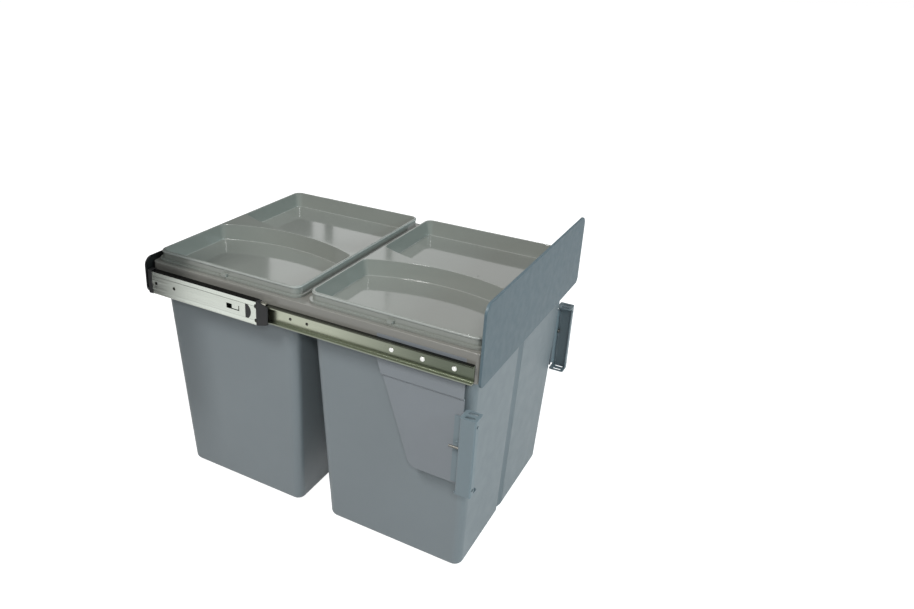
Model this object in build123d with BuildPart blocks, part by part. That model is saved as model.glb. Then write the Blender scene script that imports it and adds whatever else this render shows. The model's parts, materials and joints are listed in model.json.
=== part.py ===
from build123d import *

import os

os.makedirs("parts", exist_ok=True)

# Millimetres. +X is the right-hand side seen from the front, the front panel faces -Y and +Z is up.
# The bins stand on Z = 0, and X = 0 and Y = 0 are the middle of the unit, pulled fully open.

# Whole unit
cabinet_width = 364
runner_space = 12
frame_width = cabinet_width - 2 * runner_space
frame_depth = 486
frame_height = 38
frame_wall = 3
frame_corner = 8
frame_round = 1
frame_rib_rise = 12
frame_side_margin = 10
frame_end_margin = 5.2
frame_bar = 16.4
bay_pitch = (frame_depth + frame_bar) / 2 - frame_end_margin
seat_gap = 0.3
overrun = 5

# Lift-out bins
bin_wall = 2
bin_floor = 2.5
bin_rim = 2.5
bin_rim_reach = 3.5
bin_mouth_width = frame_width - 2 * frame_side_margin
bin_mouth_depth = bay_pitch - frame_bar - 2 * seat_gap
bin_mouth_corner = 12
bin_shoulder_height = 283.5
bin_shoulder_rise = 14
bin_mouth_height = 31.5
bin_height = bin_shoulder_height + bin_shoulder_rise + bin_mouth_height
bin_side_step = 1.5
bin_front_step = 4.5
bin_rear_step = 3.5
bin_side_draft = 16.5
bin_front_draft = 8.5
bin_rear_draft = 14
bin_body_width = bin_mouth_width - 2 * bin_side_step
bin_body_front = bin_mouth_depth / 2 - bin_front_step
bin_body_rear = bin_mouth_depth / 2 - bin_rear_step
bin_foot_width = bin_body_width - 2 * bin_side_draft
bin_foot_front = bin_body_front - bin_front_draft
bin_foot_rear = bin_body_rear - bin_rear_draft
bin_corner = 12.5
bin_foot_round = 7.4
bin_groove_width = 20
bin_groove_place = -8
bin_groove_depth = 5

# Tray lids
lid_width = bin_mouth_width
lid_depth = bin_mouth_depth
lid_height = 14
lid_corner = 11
lid_wall = 1.6
lid_flange = 2.5
lid_flange_reach = 4
lid_rim = 2.5
lid_rim_round = 0.7
tray_depth = 23
tray_draft = 6
tray_corner = 10
tray_wall = 1.5
tray_floor = 1.8
ridge_apex = 8
ridge_bow = 26
ridge_thickness = 4.5
bridge_width = 56
lid_nub_width = 9
lid_nub_height = 4

# Front panel
panel_inset = 5
panel_width = cabinet_width - 2 * panel_inset
panel_height = 101.5
panel_thickness = 3
panel_rise = 62
panel_top_corner = 13
panel_foot_corner = 8
panel_edge_round = 0.8
boss_radius = 4
boss_count = 4
boss_inset = 32
boss_spacing = (frame_width - 2 * boss_inset) / (boss_count - 1)
boss_rise = 7

# Ball-bearing runners, measured outwards from the side of the frame
runner_drop = 25.3
sheet = 1.2
bend = 1.4
drawer_height = 24
drawer_reach = 7.6
drawer_lip = 2.2
drawer_front = 11
cabinet_height = 34
cabinet_flange = 9.6
cabinet_lip = 1.8
cabinet_length = 176
cabinet_setback = 10
emboss_height = 19
emboss_depth = 0.5
race_clearance = 0.05
ball_radius = 2.2
ball_depth = 5.7
ball_count = 6
ball_pitch = 6
ball_lead = 3
ball_clearance = 0.25
cage_sheet = 0.8
cage_web = 9.2
cage_tip = 2.8
cage_length = 51
cage_nose = 12.6
bumper_length = 17
bumper_inset = 0.1
bumper_web = 2.3
bumper_reach = 8.3
bumper_round = 2
bumper_nose_height = 24
bumper_tongue = 20
bumper_clearance = 0.05
slide_gap = 0.5
stop_length = 7
stop_reach = 10.3

# Openings in the outer runner members
latch_height = 7
latch_window = 8.8
latch_tongue = 12
latch_slit = 1.4
latch_back = 47.5
dee_back = 17
dee_width = 9
dee_bow = 4.7
dee_height = 19
scallop_radius = 3
scallop_spacing = 20
cabinet_hole = 2.3
cabinet_hole_spacing = 32
cabinet_hole_inset = 7

# Openings and rivets in the long inner runner members
rivet_radius = 2
rivet_head = 3.1
rivet_head_height = 1.1
rivet_places = (34.8, 74.6, 114.8)
spare_hole = 2.1
spare_hole_places = (233.4, 258.2)
rear_screw_insets = (85, 33)

# Side plates
plate_sheet = 1.5
plate_front = 21.5
plate_rear = 135.5
plate_foot_rear = 86.5
plate_head_drop = 9.5
plate_slope_drop = 42.5
plate_jog_drop = 61.5
plate_foot_drop = 179.2
plate_head = bin_height - plate_head_drop
plate_slope_head = bin_height - plate_slope_drop
plate_jog_height = bin_height - plate_jog_drop
plate_foot = bin_height - plate_foot_drop
plate_jog = 2.5
plate_corner = 14
plate_clearance = 0.05

# Door brackets
bracket_sheet = 1.5
bracket_inset = 1
bracket_depth = 20
bracket_height = 104
bracket_drop = 3.7
bracket_foot = plate_foot - bracket_drop
bracket_return = 10
bracket_tail = 11
bracket_tail_inset = 7
bracket_tab = 23
bracket_head_tab = 20.5
bracket_foot_tab = 30
bracket_slot = 4.5
bracket_slot_pitch = 12
bracket_slot_inset = 5
bracket_slot_margin = 2
bracket_bend = 1
door_hole = 2.2
door_hole_inset = 5.5
door_hole_margin = 9
door_hole_spacing = bracket_height - 2 * door_hole_margin
adjuster_radius = 2
adjuster_length = 15
adjuster_inset = 6
adjuster_rise = 3
adjuster_hole_clearance = 0.05
adjuster_head = 3.8
adjuster_head_height = 2.6
bracket_rivet_rise = 9
bracket_rivet_back = 4.5
bracket_hole_rise = 1

# Rear plate
rear_plate_inset = 1
rear_plate_width = cabinet_width - 2 * rear_plate_inset
rear_plate_height = 53.5
rear_plate_thickness = 2.5
rear_plate_corner = 12
rear_plate_rise = 7.5

# Screws
screw_radius = 1.75
screw_hole = 1.8
screw_head = 3.4
screw_head_height = 2
screw_length = 9
rear_screw_length = 6
rear_screw_count = 4
rear_screw_inset = 20
rear_screw_spacing = (frame_width - 2 * rear_screw_inset) / (rear_screw_count - 1)
panel_screw_head = 5.5
panel_screw_head_height = 1.6
panel_screw_length = 4
countersink_angle = 90
socket_radius = 1.2
socket_depth = 1.2

# Heights that the pieces share
rim_foot = bin_height - bin_rim
ledge_top = rim_foot - seat_gap
lid_foot = bin_height + seat_gap
lid_top = lid_foot + lid_height
frame_top = bin_height
frame_foot = frame_top - frame_height
runner_z = frame_top - runner_drop

# Distances from the middle that the pieces share
front = -(panel_thickness + frame_depth + rear_plate_thickness) / 2
frame_front = front + panel_thickness
frame_rear = frame_front + frame_depth
frame_middle = (frame_front + frame_rear) / 2
frame_side = -frame_width / 2
cabinet_side = -cabinet_width / 2
bay_places = (frame_middle - bay_pitch / 2, frame_middle + bay_pitch / 2)
cabinet_rear_y = frame_rear - cabinet_setback
cabinet_front_y = cabinet_rear_y - cabinet_length
drawer_front_y = front + drawer_front
drawer_length = frame_rear - drawer_front_y - slide_gap
rear_screw_places = [frame_rear - front - inset for inset in rear_screw_insets]


def save(piece, label):
    """Names a finished piece and writes it."""
    piece.part.label = label
    export_step(piece.part, f"parts/{label}.step")


def save_pair(piece, label):
    """Writes the left-hand piece, and its mirror image for the right-hand side."""
    save(piece, f"left_{label}")
    with BuildPart() as twin:
        mirror(piece.part, about=Plane.YZ)
    save(twin, f"right_{label}")


def save_in_bays(piece, label):
    """Writes a piece that was built about the middle of a bay once for each bay."""
    for bay, place in zip(bay_places, ("front", "rear")):
        with BuildPart() as placed:
            with Locations((0, bay, 0)):
                add(piece.part)
        save(placed, f"{place}_{label}")


def across(y):
    """Upright plane across the unit at y; an extrusion from it runs towards the front."""
    return Plane.XZ.offset(-y)


def folded_sheet(points, thickness, radius):
    """Section of a folded sheet whose one face runs through the points."""
    with BuildSketch() as section:
        with BuildLine():
            FilletPolyline(*points, radius=radius)
            offset(amount=thickness, side=Side.LEFT)
        make_face()
    return section.sketch


def rivet(grip):
    """Button-head rivet along Z, with its head standing on Z = 0."""
    with BuildPart() as body:
        with BuildSketch():
            Circle(rivet_head)
        extrude(amount=rivet_head_height)
        fillet(body.edges().sort_by(Axis.Z)[-1], radius=rivet_head_height / 2)
        with BuildSketch():
            Circle(rivet_radius)
        extrude(amount=-grip)
    return body.part


def pan_screw(length, radius, head, head_height):
    """Pan-head screw along Z, with its head standing on Z = 0 and a six-sided socket."""
    with BuildPart() as body:
        with BuildSketch():
            Circle(head)
        extrude(amount=head_height)
        fillet(body.edges().sort_by(Axis.Z)[-1], radius=head_height / 3)
        with BuildSketch():
            Circle(radius)
        extrude(amount=-length)
        with BuildSketch(Plane.XY.offset(head_height)):
            RegularPolygon(socket_radius, side_count=6)
        extrude(amount=-socket_depth, mode=Mode.SUBTRACT)
    return body.part


def flat_screw(length):
    """Countersunk screw along Z, with the flat of its head on Z = 0."""
    with BuildPart() as body:
        with BuildSketch(Plane.XZ):
            with BuildLine():
                Polyline(
                    (0, 0),
                    (screw_head, 0),
                    (screw_radius, screw_radius - screw_head),
                    (screw_radius, -length),
                    (0, -length),
                    close=True,
                )
            make_face()
        revolve(axis=Axis.Z)
        with BuildSketch():
            RegularPolygon(socket_radius, side_count=6)
        extrude(amount=-socket_depth, mode=Mode.SUBTRACT)
    return body.part


# Bins: a tapered body, a shoulder that the frame hides, a straight mouth and a rim that hangs on the frame
def bin_outline(height, width, ahead, behind, corner):
    """Level outline of a bin, which reaches ahead of and behind the middle of its bay."""
    with BuildSketch(Plane.XY.offset(height)) as outline:
        with Locations((0, (behind - ahead) / 2)):
            RectangleRounded(width, ahead + behind, corner)
    return outline.sketch


def groove_outline(height, face, width, depth):
    """Level outline of the upright groove in the front of a bin."""
    left = bin_groove_place - width / 2
    right = bin_groove_place + width / 2
    with BuildSketch(Plane.XY.offset(height)) as outline:
        with BuildLine():
            Polyline((left, face), (left, face - overrun), (right, face - overrun), (right, face))
            ThreePointArc((right, face), (bin_groove_place, face + depth), (left, face))
        make_face()
    return outline.sketch


def bin_shell(inset, floor):
    """Solid form of a bin with its walls drawn in by inset and its foot raised to floor."""
    mouth_reach = bin_mouth_depth / 2 - inset
    mouth = (bin_mouth_width - 2 * inset, mouth_reach, mouth_reach, bin_mouth_corner - inset)
    shoulder = bin_outline(
        bin_shoulder_height,
        bin_body_width - 2 * inset,
        bin_body_front - inset,
        bin_body_rear - inset,
        bin_corner - inset,
    )
    foot = bin_outline(
        floor,
        bin_foot_width - 2 * inset,
        bin_foot_front - inset,
        bin_foot_rear - inset,
        bin_corner - inset,
    )
    with BuildPart() as shell:
        loft(sections=[foot, shoulder])
        fillet(shell.edges().group_by(Axis.Z)[0], radius=bin_foot_round - inset)
        loft(sections=[shoulder, bin_outline(bin_shoulder_height + bin_shoulder_rise, *mouth)])
        add(bin_outline(bin_shoulder_height + bin_shoulder_rise, *mouth))
        extrude(amount=bin_mouth_height)
        groove = (bin_groove_width + 2 * inset, bin_groove_depth)
        loft(
            sections=[
                groove_outline(0, inset - bin_foot_front, *groove),
                groove_outline(bin_shoulder_height, inset - bin_body_front, *groove),
            ],
            mode=Mode.SUBTRACT,
        )
    return shell.part


with BuildPart() as bin_body:
    add(bin_shell(0, 0))
    add(
        bin_outline(
            rim_foot,
            bin_mouth_width + 2 * bin_rim_reach,
            bin_mouth_depth / 2 + bin_rim_reach,
            bin_mouth_depth / 2 + bin_rim_reach,
            bin_mouth_corner + bin_rim_reach,
        )
    )
    extrude(amount=bin_rim)
    add(bin_shell(bin_wall, bin_floor), mode=Mode.SUBTRACT)
save_in_bays(bin_body, "bin")

# Lids: a rimmed shell with two recessed trays, parted by a curved ridge that widens into a flat bridge
tray_half_width = lid_width / 2 - lid_rim
tray_half_depth = lid_depth / 2 - lid_rim
ridge_end = -ridge_apex - ridge_bow
ridge_side = ridge_thickness - ridge_apex


def curved_tray():
    """Outline of the left-hand tray, whose right-hand side is the bowed ridge."""
    with BuildSketch() as outline:
        with BuildLine():
            Polyline(
                (ridge_end, -tray_half_depth),
                (-tray_half_width, -tray_half_depth),
                (-tray_half_width, tray_half_depth),
                (ridge_end, tray_half_depth),
            )
            ThreePointArc((ridge_end, tray_half_depth), (-ridge_apex, 0), (ridge_end, -tray_half_depth))
        make_face()
        fillet(outline.vertices(), radius=tray_corner)
    return outline.sketch


def waved_tray():
    """Outline of the right-hand tray, which follows the ridge and then leaves it for the bridge."""
    with BuildSketch() as outline:
        with BuildLine():
            Polyline(
                (ridge_end + bridge_width, tray_half_depth),
                (tray_half_width, tray_half_depth),
                (tray_half_width, -tray_half_depth),
                (ridge_end + ridge_thickness, -tray_half_depth),
            )
            TangentArc((ridge_side, 0), (ridge_end + bridge_width, tray_half_depth), tangent=(0, 1))
            TangentArc((ridge_side, 0), (ridge_end + ridge_thickness, -tray_half_depth), tangent=(0, -1))
        make_face()
        corners = outline.vertices().group_by(Axis.Y)
        fillet(corners[0] + corners[-1], radius=tray_corner)
    return outline.sketch


with BuildPart() as lid:
    with BuildSketch(Plane.XY.offset(lid_foot)):
        RectangleRounded(lid_width, lid_depth, lid_corner)
        offset(amount=-lid_wall, mode=Mode.SUBTRACT)
    extrude(amount=lid_height)
    with BuildSketch(Plane.XY.offset(lid_top - lid_wall)):
        RectangleRounded(lid_width, lid_depth, lid_corner)
    extrude(amount=lid_wall)
    with BuildSketch(Plane.XY.offset(lid_foot)):
        RectangleRounded(
            lid_width + 2 * lid_flange_reach,
            lid_depth + 2 * lid_flange_reach,
            lid_corner + lid_flange_reach,
        )
        RectangleRounded(lid_width - lid_wall, lid_depth - lid_wall, lid_corner, mode=Mode.SUBTRACT)
    extrude(amount=lid_flange)
    for tray in (curved_tray(), waved_tray()):
        with BuildSketch(Plane.XY.offset(lid_top)):
            add(tray)
            offset(amount=tray_wall)
        extrude(amount=-tray_depth - tray_floor, taper=tray_draft)
    for tray in (curved_tray(), waved_tray()):
        with BuildSketch(Plane.XY.offset(lid_top)):
            add(tray)
        extrude(amount=-tray_depth, taper=tray_draft, mode=Mode.SUBTRACT)
    with BuildSketch(Plane.XY.offset(lid_foot + lid_flange)):
        with GridLocations(lid_width + lid_flange_reach, 0, 2, 1):
            RectangleRounded(lid_flange_reach + lid_wall, lid_nub_width, lid_wall)
    extrude(amount=lid_nub_height)
    fillet(lid.edges().group_by(Axis.Z)[-1], radius=lid_rim_round)
save_in_bays(lid, "lid")

# Frame: a deck with two rebated openings on a skirt, with room in its sides for the side plates
opening_depth = bin_mouth_depth + 2 * seat_gap
boss_z = frame_foot + boss_rise


def boss_places(radius):
    """Circles at the bosses that fasten the front panel to the frame."""
    with BuildSketch() as circles:
        with Locations((0, boss_z)):
            with GridLocations(boss_spacing, 0, boss_count, 1):
                Circle(radius)
    return circles.sketch


with BuildPart() as frame:
    with BuildSketch(Plane.XY.offset(frame_foot)):
        with Locations((0, frame_middle)):
            RectangleRounded(frame_width, frame_depth, frame_corner)
    extrude(amount=frame_height)
    fillet(frame.faces().sort_by(Axis.Z)[-1].edges(), radius=frame_round)
    with BuildSketch(Plane.XY.offset(frame_foot)):
        with Locations((0, frame_middle)):
            RectangleRounded(
                frame_width - 2 * frame_wall,
                frame_depth - 2 * frame_wall,
                frame_corner - frame_wall,
            )
    extrude(amount=ledge_top - frame_wall - frame_foot, mode=Mode.SUBTRACT)
    with BuildSketch(Plane.XY.offset(frame_foot + frame_rib_rise)):
        with Locations((0, frame_middle)):
            Rectangle(frame_width - 2 * frame_wall, bay_pitch - opening_depth)
    extrude(amount=ledge_top - frame_foot - frame_rib_rise)
    for level, reach in ((frame_foot, seat_gap), (ledge_top, seat_gap + bin_rim_reach)):
        with BuildSketch(Plane.XY.offset(level)):
            with GridLocations(0, bay_pitch, 1, 2):
                with Locations((0, frame_middle)):
                    RectangleRounded(
                        bin_mouth_width + 2 * reach,
                        bin_mouth_depth + 2 * reach,
                        bin_mouth_corner + reach,
                    )
        extrude(amount=frame_height, mode=Mode.SUBTRACT)
    with BuildSketch(Plane.YZ.offset(frame_side)):
        with Locations((front + plate_front - plate_clearance, frame_foot)):
            Rectangle(
                plate_rear - plate_front + 2 * plate_clearance,
                plate_head + plate_clearance - frame_foot,
                align=(Align.MIN, Align.MIN),
            )
    recess = extrude(amount=plate_sheet + plate_clearance, mode=Mode.SUBTRACT)
    mirror(recess, about=Plane.YZ, mode=Mode.SUBTRACT)
    with BuildSketch(Plane.YZ.offset(frame_side - overrun)):
        for places, radius in ((spare_hole_places, spare_hole), (rear_screw_places, screw_hole)):
            for place in places:
                with Locations((front + place, runner_z)):
                    Circle(radius)
    extrude(amount=frame_width + 2 * overrun, mode=Mode.SUBTRACT)
    with BuildSketch(across(frame_rear)):
        with Locations((0, runner_z)):
            with GridLocations(rear_screw_spacing, 0, rear_screw_count, 1):
                Circle(screw_hole)
    extrude(amount=frame_wall, mode=Mode.SUBTRACT)
    with BuildSketch(across(frame_front + frame_wall)):
        add(boss_places(boss_radius + seat_gap))
    extrude(amount=frame_wall, mode=Mode.SUBTRACT)
save(frame, "bin_frame")

# Front panel: a plain upright sheet with bosses that pass through the front wall of the frame
with BuildPart() as panel:
    with BuildSketch(across(frame_front)) as outline:
        with Locations((0, frame_top + panel_rise - panel_height / 2)):
            Rectangle(panel_width, panel_height)
        fillet(outline.vertices().group_by(Axis.Y)[-1], radius=panel_top_corner)
        fillet(outline.vertices().group_by(Axis.Y)[0], radius=panel_foot_corner)
    extrude(amount=panel_thickness)
    fillet(panel.faces().sort_by(Axis.Y)[0].edges(), radius=panel_edge_round)
    with BuildSketch(across(frame_front + frame_wall)):
        add(boss_places(boss_radius))
    extrude(amount=frame_wall)
    with BuildSketch(across(frame_front + frame_wall)):
        add(boss_places(screw_radius))
    extrude(amount=panel_screw_length, mode=Mode.SUBTRACT)
save(panel, "front_panel")

# Rear plate: a flat steel plate across the back, as wide as the room between the cabinet sides allows
rear_y = frame_rear + rear_plate_thickness

with BuildPart() as rear_plate:
    with BuildSketch(across(rear_y)):
        with Locations((0, frame_top + rear_plate_rise - rear_plate_height / 2)):
            RectangleRounded(rear_plate_width, rear_plate_height, rear_plate_corner)
    extrude(amount=rear_plate_thickness)
    with Locations(Location((0, rear_y, runner_z), (-90, 0, 0))):
        with GridLocations(rear_screw_spacing, 0, rear_screw_count, 1):
            CounterSinkHole(
                screw_hole,
                screw_head,
                depth=rear_plate_thickness,
                counter_sink_angle=countersink_angle,
            )
save(rear_plate, "rear_plate")

# Raceways: both members of a runner are grooved by the same circles, a little wider than the balls
ball_x = frame_side - ball_depth
ball_rise = (drawer_height + cabinet_height - 2 * sheet) / 4
cabinet_web_x = cabinet_side + emboss_depth


def runner_section(web_x, tip_x, half_height, lip):
    """Section of a left-hand member: a web, two grooved flanges and their turned-in lips."""
    with BuildSketch() as section:
        add(
            folded_sheet(
                [
                    (tip_x, runner_z - half_height + lip),
                    (tip_x, runner_z - half_height),
                    (web_x, runner_z - half_height),
                    (web_x, runner_z + half_height),
                    (tip_x, runner_z + half_height),
                    (tip_x, runner_z + half_height - lip),
                ],
                sheet,
                bend,
            )
        )
        with Locations((ball_x, runner_z)):
            with GridLocations(0, 2 * ball_rise, 1, 2):
                Circle(ball_radius + race_clearance, mode=Mode.SUBTRACT)
    return section.sketch


# Inner members: long grooved channels riveted to the side plates and screwed to the frame
drawer_section = runner_section(frame_side, frame_side - drawer_reach, drawer_height / 2, drawer_lip)

with BuildPart() as drawer_member:
    with BuildSketch(across(drawer_front_y + drawer_length)):
        add(drawer_section)
    extrude(amount=drawer_length)
    with BuildSketch(Plane.YZ.offset(frame_side)):
        for places, radius in (
            (rivet_places, rivet_radius),
            (spare_hole_places, spare_hole),
            (rear_screw_places, screw_hole),
        ):
            for place in places:
                with Locations((front + place, runner_z)):
                    Circle(radius)
    extrude(amount=-sheet, mode=Mode.SUBTRACT)
save_pair(drawer_member, "drawer_member")

# Rear stops: moulded blocks fitted round the back ends of the inner members
with BuildPart() as rear_stop:
    with BuildSketch(across(cabinet_rear_y + slide_gap + stop_length)):
        with Locations((frame_side - sheet, runner_z)):
            Rectangle(stop_reach, cabinet_height, align=(Align.MAX, Align.CENTER))
        add(drawer_section, mode=Mode.SUBTRACT)
    extrude(amount=stop_length)
save_pair(rear_stop, "rear_stop")


# Outer members: short grooved channels with a raised band, a lanced latch and a D-shaped slot
def dee_outline(gap):
    """Outline of the D-shaped slot, drawn in by gap."""
    back = cabinet_front_y + dee_back - gap
    nose = cabinet_front_y + dee_back - dee_width + gap
    half = dee_height / 2 - gap
    with BuildSketch() as outline:
        with BuildLine():
            Polyline(
                (nose + dee_bow, runner_z + half),
                (back, runner_z + half),
                (back, runner_z - half),
                (nose + dee_bow, runner_z - half),
            )
            ThreePointArc(
                (nose + dee_bow, runner_z - half),
                (nose, runner_z),
                (nose + dee_bow, runner_z + half),
            )
        make_face()
    return outline.sketch


with BuildPart() as cabinet_member:
    with BuildSketch(across(cabinet_rear_y)):
        add(
            runner_section(
                cabinet_web_x,
                cabinet_side + cabinet_flange,
                -cabinet_height / 2,
                -cabinet_lip,
            )
        )
        with Locations((cabinet_side, runner_z)):
            Rectangle(emboss_depth, emboss_height, align=(Align.MIN, Align.CENTER))
        with Locations((cabinet_side + sheet, runner_z)):
            Rectangle(
                emboss_depth, emboss_height, align=(Align.MIN, Align.CENTER), mode=Mode.SUBTRACT
            )
    extrude(amount=cabinet_length)
    latch_y = cabinet_front_y + latch_back
    with BuildSketch(Plane.YZ.offset(cabinet_side)):
        add(dee_outline(0))
        with Locations((latch_y, runner_z)):
            Rectangle(latch_window, latch_height, align=(Align.MAX, Align.CENTER))
        with Locations((latch_y - latch_window - latch_tongue, runner_z - latch_height / 2)):
            Rectangle(latch_tongue, latch_slit, align=(Align.MIN, Align.MIN))
            Rectangle(latch_slit, latch_height, align=(Align.MIN, Align.MIN))
        with Locations((cabinet_front_y, runner_z)):
            with GridLocations(0, scallop_spacing, 1, 2):
                Circle(scallop_radius)
        for inset in (cabinet_hole_inset, cabinet_hole_inset + cabinet_hole_spacing):
            with Locations((cabinet_rear_y - inset, runner_z)):
                Circle(cabinet_hole)
    extrude(amount=sheet + emboss_depth, mode=Mode.SUBTRACT)
save_pair(cabinet_member, "cabinet_member")

# Front bumpers: moulded ends in line with the outer members, with a tongue that clips into the D slot
bumper_x = cabinet_side + bumper_inset
tongue_x = cabinet_side + sheet + bumper_clearance

with BuildPart() as bumper:
    with BuildSketch(across(cabinet_front_y)) as section:
        with Locations((bumper_x, runner_z)):
            Rectangle(bumper_reach, cabinet_height, align=(Align.MIN, Align.CENTER))
        fillet(section.vertices().group_by(Axis.X)[0], radius=bend)
        with Locations((bumper_x + bumper_web, runner_z)):
            Rectangle(
                bumper_reach,
                cabinet_height - 2 * sheet,
                align=(Align.MIN, Align.CENTER),
                mode=Mode.SUBTRACT,
            )
    extrude(amount=bumper_length)
    fillet(bumper.edges().filter_by(Axis.Z).group_by(Axis.Y)[0].sort_by(Axis.X)[0], radius=bumper_round)
    with BuildSketch(Plane.YZ.offset(bumper_x)):
        with BuildLine():
            Polyline(
                (cabinet_front_y, runner_z - cabinet_height / 2),
                (cabinet_front_y, runner_z + cabinet_height / 2),
                (cabinet_front_y - bumper_length, runner_z + bumper_nose_height / 2),
                (cabinet_front_y - bumper_length, runner_z - bumper_nose_height / 2),
                close=True,
            )
        make_face()
    extrude(amount=bumper_reach, mode=Mode.INTERSECT)
    with BuildSketch(Plane.YZ.offset(bumper_x + bumper_web)):
        with Locations((cabinet_front_y, runner_z)):
            Rectangle(
                bumper_tongue,
                emboss_height - 2 * bumper_clearance,
                align=(Align.MIN, Align.CENTER),
            )
    extrude(amount=tongue_x - bumper_x - bumper_web)
    with BuildSketch(Plane.YZ.offset(tongue_x)):
        add(dee_outline(bumper_clearance))
    extrude(amount=bumper_x - tongue_x)
save_pair(bumper, "front_bumper")

# Ball retainers: folded cages that reach a little ahead of the outer members
cage_front_y = cabinet_front_y - cage_nose
cage_height = 2 * ball_rise + cage_sheet
ball_middle = cabinet_front_y + ball_lead + (ball_count - 1) * ball_pitch / 2

with BuildPart() as retainer:
    with BuildSketch(across(cage_front_y + cage_length)):
        add(
            folded_sheet(
                [
                    (frame_side - cage_tip, runner_z + cage_height / 2),
                    (frame_side - cage_web, runner_z + cage_height / 2),
                    (frame_side - cage_web, runner_z - cage_height / 2),
                    (frame_side - cage_tip, runner_z - cage_height / 2),
                ],
                cage_sheet,
                bend,
            )
        )
    extrude(amount=cage_length)
    with BuildSketch(Plane.XY.offset(runner_z - cage_height / 2)):
        with Locations((ball_x, ball_middle)):
            with GridLocations(0, ball_pitch, 1, ball_count):
                Circle(ball_radius + ball_clearance)
    extrude(amount=cage_height, mode=Mode.SUBTRACT)
save_pair(retainer, "ball_retainer")

with BuildPart() as balls:
    for row in (runner_z - ball_rise, runner_z + ball_rise):
        with Locations((ball_x, ball_middle, row)):
            with GridLocations(0, ball_pitch, 1, ball_count):
                Sphere(ball_radius)
save_pair(balls, "slide_balls")

# Side plates: sheets behind the inner members, joggled inwards below the frame and cut to a slanted edge
plate_x = frame_side + plate_sheet
jogged_x = plate_x + plate_jog
bracket_middle = bracket_foot + bracket_height / 2
bracket_rivet_y = front + plate_front + bracket_rivet_back

with BuildPart() as side_plate:
    with BuildSketch(across(front + plate_rear)):
        add(
            folded_sheet(
                [
                    (jogged_x, plate_foot),
                    (jogged_x, plate_jog_height - plate_jog),
                    (plate_x, plate_jog_height),
                    (plate_x, plate_head),
                ],
                plate_sheet,
                bend,
            )
        )
    extrude(amount=plate_rear - plate_front)
    with BuildSketch(Plane.YZ.offset(frame_side)) as outline:
        with BuildLine():
            Polyline(
                (front + plate_front, plate_head),
                (front + plate_front, plate_foot),
                (front + plate_foot_rear, plate_foot),
                (front + plate_rear, plate_slope_head),
                (front + plate_rear, plate_head),
                close=True,
            )
        make_face()
        fillet(outline.vertices().group_by(Axis.Y)[0].sort_by(Axis.X)[-1], radius=plate_corner)
        for place in rivet_places:
            with Locations((front + place, runner_z)):
                Circle(rivet_radius, mode=Mode.SUBTRACT)
        for rise in (bracket_rivet_rise, bracket_hole_rise):
            with Locations((bracket_rivet_y, bracket_middle + rise)):
                Circle(rivet_radius, mode=Mode.SUBTRACT)
    extrude(amount=jogged_x - frame_side, mode=Mode.INTERSECT)
save_pair(side_plate, "side_plate")

# Door brackets: channels of folded sheet with a tail against the side plate and slotted tabs at both ends
bracket_x = cabinet_side + bracket_inset
tail_x = frame_side + plate_jog - bracket_sheet
bracket_radius = bracket_bend + bracket_sheet
return_x = bracket_x + bracket_return
bracket_back = front + bracket_depth
adjuster_x = bracket_x + adjuster_inset
adjuster_z = bracket_middle + adjuster_rise

with BuildPart() as bracket:
    channel = [(bracket_x, bracket_back), (bracket_x, front), (return_x, front)]
    with BuildSketch(Plane.XY.offset(bracket_foot)):
        add(
            folded_sheet([(tail_x - bracket_radius, bracket_back), *channel], bracket_sheet, bracket_radius)
        )
    extrude(amount=bracket_height)
    with BuildSketch(Plane.XY.offset(bracket_foot + bracket_tail_inset)):
        tail = [(tail_x, bracket_back + bracket_tail), (tail_x, bracket_back)]
        add(folded_sheet([*tail, *channel], bracket_sheet, bracket_radius))
    extrude(amount=bracket_height - 2 * bracket_tail_inset)
    for tab_depth, foot in (
        (bracket_foot_tab, bracket_foot),
        (bracket_head_tab, bracket_foot + bracket_height - bracket_sheet),
    ):
        with BuildSketch(Plane.XY.offset(foot)) as tab:
            with Locations((bracket_x, front)):
                Rectangle(bracket_tab, tab_depth, align=(Align.MIN, Align.MIN))
            fillet(tab.vertices(), radius=bracket_radius)
            with Locations((bracket_x + bracket_tab - bracket_slot_inset, front + bracket_depth / 2)):
                with Locations((0, 0), (-bracket_slot_pitch, 0)):
                    SlotOverall(
                        bracket_depth - 2 * bracket_sheet - 2 * bracket_slot_margin,
                        bracket_slot,
                        rotation=90,
                        mode=Mode.SUBTRACT,
                    )
        extrude(amount=bracket_sheet)
    with BuildSketch(across(front + bracket_sheet)):
        with Locations((bracket_x + door_hole_inset, bracket_middle)):
            with GridLocations(0, door_hole_spacing, 1, 2):
                Circle(door_hole)
    extrude(amount=bracket_sheet, mode=Mode.SUBTRACT)
    with BuildSketch(across(bracket_back)):
        with Locations((adjuster_x, adjuster_z)):
            Circle(adjuster_radius + adjuster_hole_clearance)
    extrude(amount=bracket_sheet, mode=Mode.SUBTRACT)
    with BuildSketch(Plane.YZ.offset(tail_x)):
        for rise in (bracket_rivet_rise, bracket_hole_rise):
            with Locations((bracket_rivet_y, bracket_middle + rise)):
                Circle(rivet_radius)
    extrude(amount=bracket_sheet, mode=Mode.SUBTRACT)
save_pair(bracket, "door_bracket")

# Rivets and screws: the left-hand ones are placed and then mirrored
outwards = (0, -90, 0)
rearwards = (-90, 0, 0)
forwards = (90, 0, 0)

with BuildPart() as side_rivets:
    for place in rivet_places:
        with Locations(Location((frame_side - sheet, front + place, runner_z), outwards)):
            add(rivet(sheet + plate_sheet))
    mirror(about=Plane.YZ)
save(side_rivets, "side_rivets")

with BuildPart() as bracket_rivets:
    with Locations(Location((tail_x, bracket_rivet_y, bracket_middle + bracket_rivet_rise), outwards)):
        add(rivet(bracket_sheet + plate_sheet))
    mirror(about=Plane.YZ)
save(bracket_rivets, "bracket_rivets")

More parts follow.
